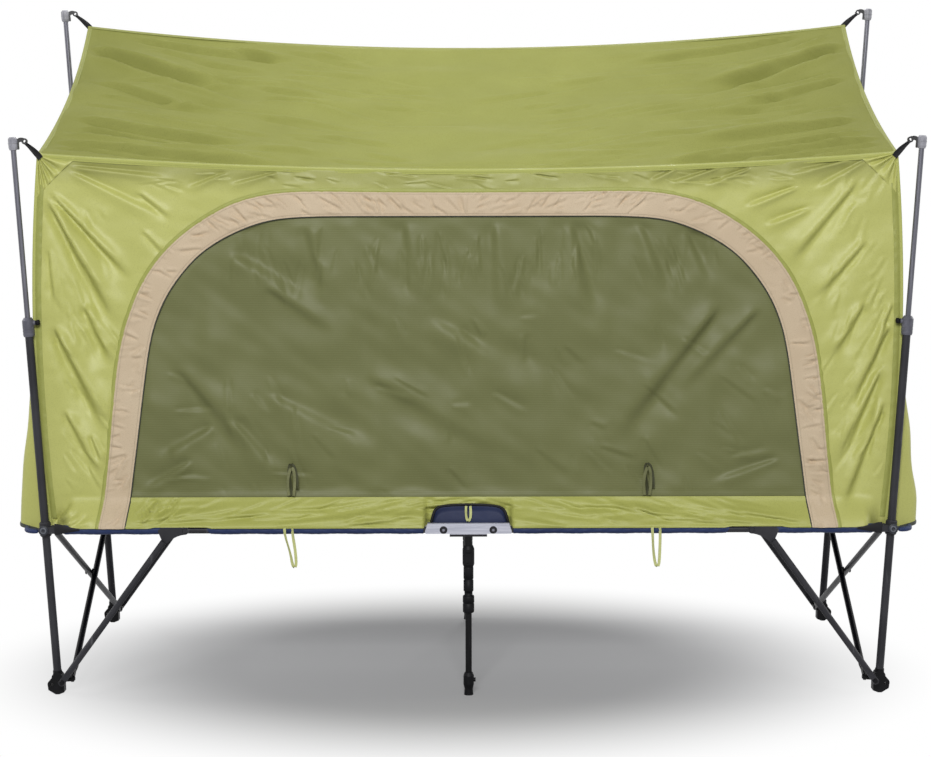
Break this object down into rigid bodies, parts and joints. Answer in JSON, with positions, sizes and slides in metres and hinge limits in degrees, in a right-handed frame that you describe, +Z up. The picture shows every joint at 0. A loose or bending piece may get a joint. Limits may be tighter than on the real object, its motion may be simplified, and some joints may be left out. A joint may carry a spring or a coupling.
{
  "type": "folding tent cot",
  "caption": "One-person tent cot: folding steel cot frame with telescopic corner poles and a fabric tent with an arched door.",
  "frame": {"origin": "on the floor, under the middle of the bed", "axes": "+X along the bed, -Y towards the door side, +Z up"},
  "size_m": [2.1716, 0.847, 1.6654],
  "materials": {
    "frame_tube": "satin powder coat",
    "black_tube": "satin powder coat",
    "pole_tube": "satin",
    "pole_cap": "matte",
    "centre_plate": "satin",
    "black_plastic": "matte",
    "bed_fabric": "woven",
    "tent_fabric": "woven",
    "roof_fabric": "woven",
    "door_mesh": "mesh",
    "binding": "woven"
  },
  "bodies": {
    "plate_front": {"plate_f": "centre_plate", "leg_f": "frame_tube", "leg_collar_f": "black_plastic"},
    "leg_ext_front": {"leg_slide_f": "frame_tube", "leg_boot_f": "black_plastic"},
    "plate_back": {"plate_b": "centre_plate", "leg_b": "frame_tube", "leg_collar_b": "black_plastic"},
    "leg_ext_back": {"leg_slide_b": "frame_tube", "leg_boot_b": "black_plastic"},
    "rail_fl": {"rail_fl": "frame_tube", "bed_l": "bed_fabric"},
    "rail_bl": {"rail_bl": "frame_tube"},
    "hub_fl": {"hub_fl": "frame_tube"},
    "hub_bl": {"hub_bl": "frame_tube"},
    "bar_outer_l": {"bar_outer_l": "frame_tube"},
    "bar_inner_l": {"bar_inner_l": "black_tube"},
    "post_fl": {"post_fl": "frame_tube", "foot_fl": "black_plastic", "collar_fl": "black_plastic", "tent_front": "tent_fabric", "tent_end_l": "tent_fabric", "door_panel": "door_mesh", "door_binding": "binding"},
    "pole_fl": {"pole_fl": "pole_tube", "cap_fl": "pole_cap"},
    "knob_fl": {"knob_fl": "black_plastic"},
    "strut_fl": {"strut_fl": "frame_tube"},
    "post_bl": {"post_bl": "frame_tube", "foot_bl": "black_plastic", "collar_bl": "black_plastic", "tent_back": "tent_fabric", "tent_roof": "roof_fabric"},
    "pole_bl": {"pole_bl": "pole_tube", "cap_bl": "pole_cap"},
    "knob_bl": {"knob_bl": "black_plastic"},
    "strut_bl": {"strut_bl": "frame_tube"},
    "rail_fr": {"rail_fr": "frame_tube", "bed_r": "bed_fabric"},
    "rail_br": {"rail_br": "frame_tube"},
    "hub_fr": {"hub_fr": "frame_tube"},
    "hub_br": {"hub_br": "frame_tube"},
    "bar_outer_r": {"bar_outer_r": "frame_tube"},
    "bar_inner_r": {"bar_inner_r": "black_tube"},
    "post_fr": {"post_fr": "frame_tube", "foot_fr": "black_plastic", "collar_fr": "black_plastic", "tent_end_r": "tent_fabric"},
    "pole_fr": {"pole_fr": "pole_tube", "cap_fr": "pole_cap"},
    "knob_fr": {"knob_fr": "black_plastic"},
    "strut_fr": {"strut_fr": "frame_tube"},
    "post_br": {"post_br": "frame_tube", "foot_br": "black_plastic", "collar_br": "black_plastic"},
    "pole_br": {"pole_br": "pole_tube", "cap_br": "pole_cap"},
    "knob_br": {"knob_br": "black_plastic"},
    "strut_br": {"strut_br": "frame_tube"}
  },
  "joints": [
    {"name": "leg_slide_front", "type": "slide", "parent": "plate_front", "child": "leg_ext_front", "axis": [0, 0, 1], "range_m": [0, 0.045]},
    {"name": "frame_fold", "type": "hinge", "parent": "plate_front", "child": "rail_fl", "pos_m": [-0.0585, -0.4, 0.397], "axis": [0, 1, 0], "range_deg": [0, 90], "deforming": ["bed_l", "bed_r", "tent_front", "tent_back", "tent_end_l", "tent_end_r", "tent_roof", "door_panel", "door_binding"]},
    {"name": "turn_hub_fl", "type": "hinge", "parent": "rail_fl", "child": "hub_fl", "pos_m": [-1, -0.38, 0.397], "axis": [0, 1, 0], "range_deg": [-87.1, 0.5]},
    {"name": "turn_bar_outer_l", "type": "hinge", "parent": "hub_fl", "child": "bar_outer_l", "pos_m": [-0.98153, -0.38, 0.3981], "axis": [-0.9982, 0, -0.0593], "range_deg": [-0.5, 46.96]},
    {"name": "cross_l", "type": "hinge", "parent": "bar_outer_l", "child": "bar_inner_l", "pos_m": [-0.97075, 0, 0.2166], "axis": [-0.9982, 0, -0.0593], "range_deg": [-93.41, 0.5]},
    {"name": "turn_post_fl", "type": "hinge", "parent": "bar_inner_l", "child": "post_fl", "pos_m": [-0.94399, -0.38, 0.03605], "axis": [-0.9982, 0, -0.0593], "range_deg": [-0.5, 46.96]},
    {"name": "turn_post_bl", "type": "hinge", "parent": "bar_outer_l", "child": "post_bl", "pos_m": [-0.95997, 0.38, 0.0351], "axis": [-0.9982, 0, -0.0593], "range_deg": [-46.96, 0.5]},
    {"name": "turn_hub_bl", "type": "hinge", "parent": "bar_inner_l", "child": "hub_bl", "pos_m": [-0.96556, 0.38, 0.39905], "axis": [-0.9982, 0, -0.0593], "range_deg": [-0.5, 46.96]},
    {"name": "turn_rail_bl", "type": "hinge", "parent": "hub_bl", "child": "rail_bl", "pos_m": [-1, 0.38, 0.397], "axis": [0, 1, 0], "range_deg": [-0.5, 87.1]},
    {"name": "turn_strut_fl", "type": "hinge", "parent": "post_fl", "child": "strut_fl", "pos_m": [-0.96246, -0.416, 0.03495], "axis": [0, -1, 0], "range_deg": [-0.5, 45.16]},
    {"name": "pole_slide_fl", "type": "slide", "parent": "post_fl", "child": "pole_fl", "axis": [0.0593, 0, -0.9982], "range_m": [0, 0.387]},
    {"name": "knob_pull_fl", "type": "slide", "parent": "post_fl", "child": "knob_fl", "axis": [0.9982, 0, 0.0593], "range_m": [0, 0.006], "stiffness_N_per_m": 300, "springref_m": -0.01},
    {"name": "turn_strut_bl", "type": "hinge", "parent": "post_bl", "child": "strut_bl", "pos_m": [-0.96246, 0.416, 0.03495], "axis": [0, -1, 0], "range_deg": [-0.5, 45.16]},
    {"name": "pole_slide_bl", "type": "slide", "parent": "post_bl", "child": "pole_bl", "axis": [0.0593, 0, -0.9982], "range_m": [0, 0.736]},
    {"name": "knob_pull_bl", "type": "slide", "parent": "post_bl", "child": "knob_bl", "axis": [0.9982, 0, 0.0593], "range_m": [0, 0.006], "stiffness_N_per_m": 300, "springref_m": -0.01},
    {"name": "fold_rail_fr", "type": "hinge", "parent": "plate_front", "child": "rail_fr", "pos_m": [0.0585, -0.4, 0.397], "axis": [0, -1, 0], "range_deg": [-0.5, 90.5]},
    {"name": "turn_hub_fr", "type": "hinge", "parent": "rail_fr", "child": "hub_fr", "pos_m": [1, -0.38, 0.397], "axis": [0, -1, 0], "range_deg": [-87.1, 0.5]},
    {"name": "turn_bar_outer_r", "type": "hinge", "parent": "hub_fr", "child": "bar_outer_r", "pos_m": [0.98153, -0.38, 0.3981], "axis": [-0.9982, 0, 0.0593], "range_deg": [-0.5, 46.96]},
    {"name": "cross_r", "type": "hinge", "parent": "bar_outer_r", "child": "bar_inner_r", "pos_m": [0.97075, 0, 0.2166], "axis": [-0.9982, 0, 0.0593], "range_deg": [-93.41, 0.5]},
    {"name": "turn_post_fr", "type": "hinge", "parent": "bar_inner_r", "child": "post_fr", "pos_m": [0.94399, -0.38, 0.03605], "axis": [-0.9982, 0, 0.0593], "range_deg": [-0.5, 46.96]},
    {"name": "turn_post_br", "type": "hinge", "parent": "bar_outer_r", "child": "post_br", "pos_m": [0.95997, 0.38, 0.0351], "axis": [-0.9982, 0, 0.0593], "range_deg": [-46.96, 0.5]},
    {"name": "turn_hub_br", "type": "hinge", "parent": "bar_inner_r", "child": "hub_br", "pos_m": [0.96556, 0.38, 0.39905], "axis": [-0.9982, 0, 0.0593], "range_deg": [-0.5, 46.96]},
    {"name": "turn_rail_br", "type": "hinge", "parent": "hub_br", "child": "rail_br", "pos_m": [1, 0.38, 0.397], "axis": [0, -1, 0], "range_deg": [-0.5, 87.1]},
    {"name": "turn_strut_fr", "type": "hinge", "parent": "post_fr", "child": "strut_fr", "pos_m": [0.96246, -0.416, 0.03495], "axis": [0, 1, 0], "range_deg": [-0.5, 45.16]},
    {"name": "pole_slide_fr", "type": "slide", "parent": "post_fr", "child": "pole_fr", "axis": [-0.0593, 0, -0.9982], "range_m": [0, 0.387]},
    {"name": "knob_pull_fr", "type": "slide", "parent": "post_fr", "child": "knob_fr", "axis": [-0.9982, 0, 0.0593], "range_m": [0, 0.006], "stiffness_N_per_m": 300, "springref_m": -0.01},
    {"name": "turn_strut_br", "type": "hinge", "parent": "post_br", "child": "strut_br", "pos_m": [0.96246, 0.416, 0.03495], "axis": [0, 1, 0], "range_deg": [-0.5, 45.16]},
    {"name": "pole_slide_br", "type": "slide", "parent": "post_br", "child": "pole_br", "axis": [-0.0593, 0, -0.9982], "range_m": [0, 0.736]},
    {"name": "knob_pull_br", "type": "slide", "parent": "post_br", "child": "knob_br", "axis": [-0.9982, 0, 0.0593], "range_m": [0, 0.006], "stiffness_N_per_m": 300, "springref_m": -0.01},
    {"name": "fold_plate_back", "type": "hinge", "parent": "rail_bl", "child": "plate_back", "pos_m": [-0.0585, 0.4, 0.397], "axis": [0, 1, 0], "range_deg": [-90.5, 0.5]},
    {"name": "leg_slide_back", "type": "slide", "parent": "plate_back", "child": "leg_ext_back", "axis": [0, 0, 1], "range_m": [0, 0.045]}
  ],
  "couplings": [
    {"joint": "turn_hub_fl", "follows": "frame_fold", "ratio": -0.96222},
    {"joint": "turn_bar_outer_l", "follows": "frame_fold", "ratio": 0.51617},
    {"joint": "cross_l", "follows": "frame_fold", "ratio": -1.0323},
    {"joint": "turn_post_fl", "follows": "frame_fold", "ratio": 0.51617},
    {"joint": "turn_post_bl", "follows": "frame_fold", "ratio": -0.51617},
    {"joint": "turn_hub_bl", "follows": "frame_fold", "ratio": 0.51617},
    {"joint": "turn_rail_bl", "follows": "frame_fold", "ratio": 0.96222},
    {"joint": "turn_strut_fl", "follows": "frame_fold", "ratio": 0.49618},
    {"joint": "turn_strut_bl", "follows": "frame_fold", "ratio": 0.49618},
    {"joint": "fold_rail_fr", "follows": "frame_fold", "ratio": 1},
    {"joint": "turn_hub_fr", "follows": "frame_fold", "ratio": -0.96222},
    {"joint": "turn_bar_outer_r", "follows": "frame_fold", "ratio": 0.51617},
    {"joint": "cross_r", "follows": "frame_fold", "ratio": -1.0323},
    {"joint": "turn_post_fr", "follows": "frame_fold", "ratio": 0.51617},
    {"joint": "turn_post_br", "follows": "frame_fold", "ratio": -0.51617},
    {"joint": "turn_hub_br", "follows": "frame_fold", "ratio": 0.51617},
    {"joint": "turn_rail_br", "follows": "frame_fold", "ratio": 0.96222},
    {"joint": "turn_strut_fr", "follows": "frame_fold", "ratio": 0.49618},
    {"joint": "turn_strut_br", "follows": "frame_fold", "ratio": 0.49618},
    {"joint": "fold_plate_back", "follows": "frame_fold", "ratio": -1}
  ]
}
